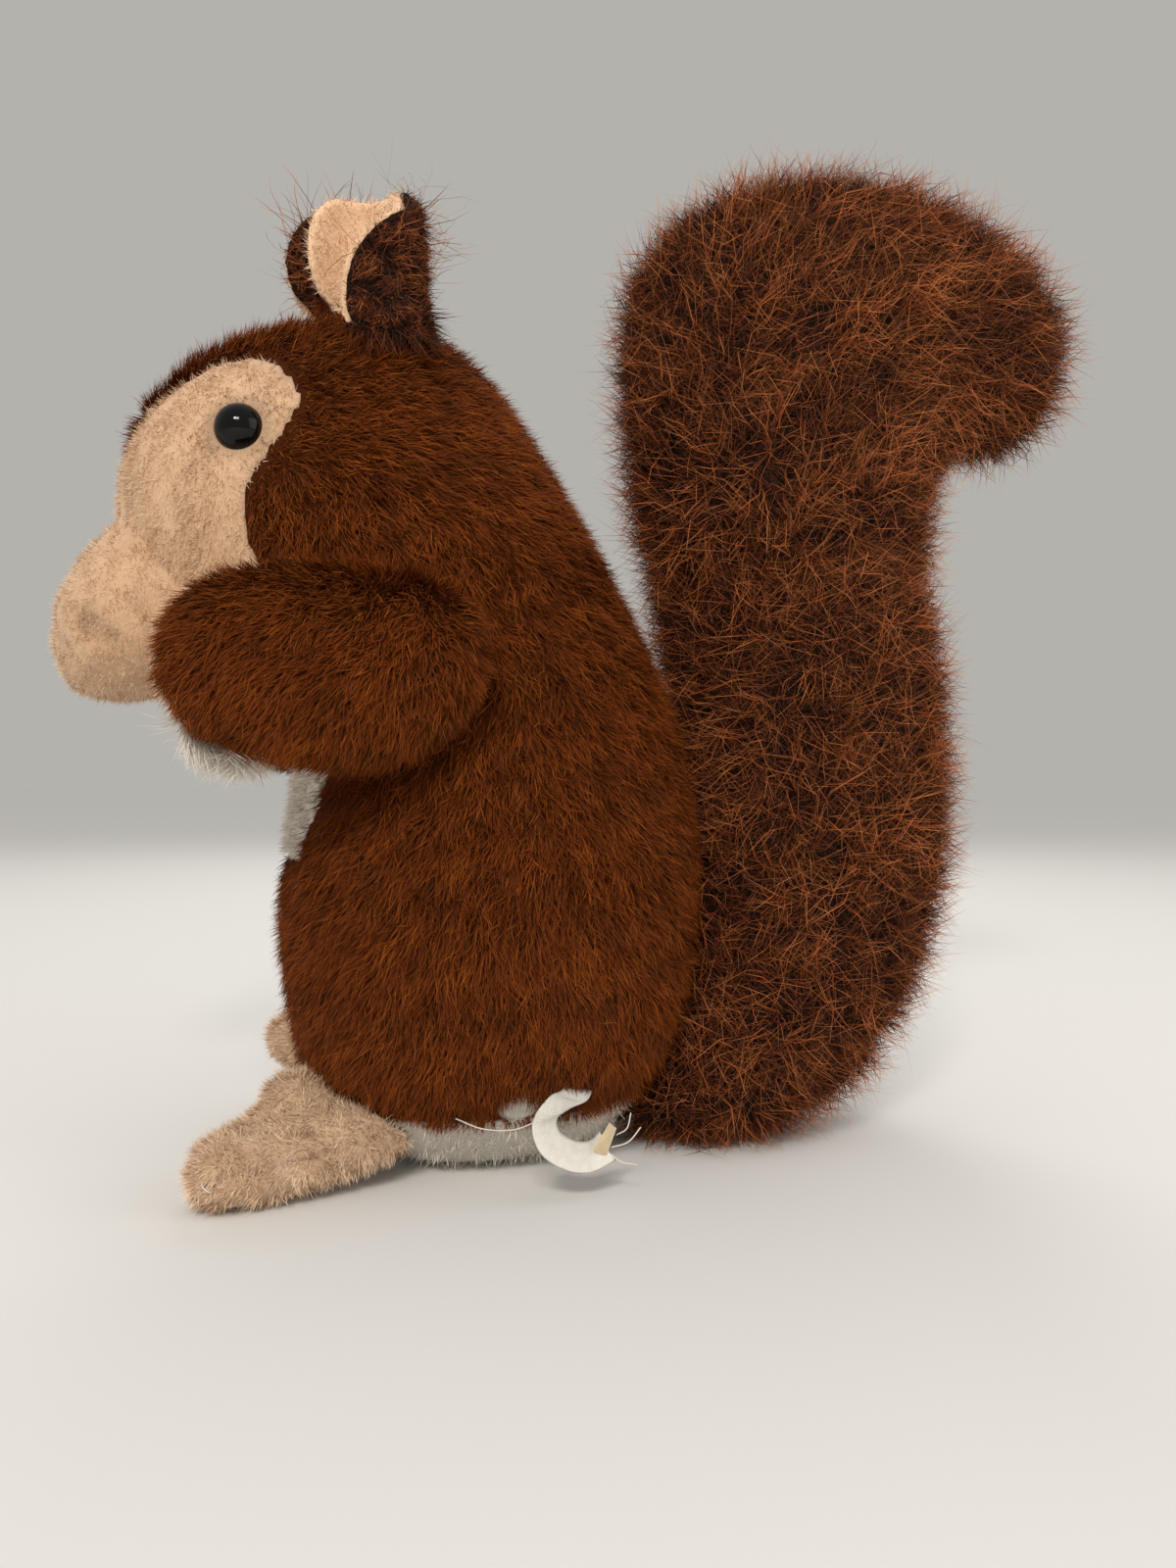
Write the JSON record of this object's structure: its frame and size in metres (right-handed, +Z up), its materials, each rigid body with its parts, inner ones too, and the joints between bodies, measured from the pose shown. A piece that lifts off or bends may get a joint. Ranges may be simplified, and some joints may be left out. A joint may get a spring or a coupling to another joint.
{
  "type": "plush squirrel",
  "caption": "Seated plush squirrel with brown short-pile body, beige face, muzzle and feet, a large upright long-pile tail, black button eyes and a bare ribbon label.",
  "frame": {"origin": "middle of the trunk's flat underside, on the surface that the toy sits on", "axes": "+Z up, -X the way the squirrel looks, +X towards the tail, -Y its left side"},
  "size_m": [0.2398, 0.1151, 0.235],
  "materials": {
    "brown_plush": "short brown pile plush, brushed back and down",
    "long_pile": "long shaggy pile, near-black at the root and rust at the tips",
    "velour": "beige velour with a very short pile",
    "cream_velour": "cream velour with a very short pile",
    "white_plush": "white plush",
    "black_plastic": "gloss moulded safety eye",
    "clear_plastic": "moulded locking washer, hidden inside",
    "ribbon": "white satin tape, bare"
  },
  "bodies": {
    "root": {"trunk": "brown_plush", "tail": "long_pile", "muzzle": "velour", "belly_panel": "white_plush", "base_panel": "white_plush", "face_panel_left": "velour", "face_panel_right": "velour", "ear_back_left": "long_pile", "ear_back_right": "long_pile", "ear_lining_left": "cream_velour", "ear_lining_right": "cream_velour", "arm_left": "brown_plush", "arm_right": "brown_plush", "arm_lining_left": "velour", "arm_lining_right": "velour", "foot_left": "velour", "foot_right": "velour", "eye_left": "black_plastic", "eye_right": "black_plastic", "eye_washer_left": "clear_plastic", "eye_washer_right": "clear_plastic", "label": "ribbon"}
  },
  "joints": []
}
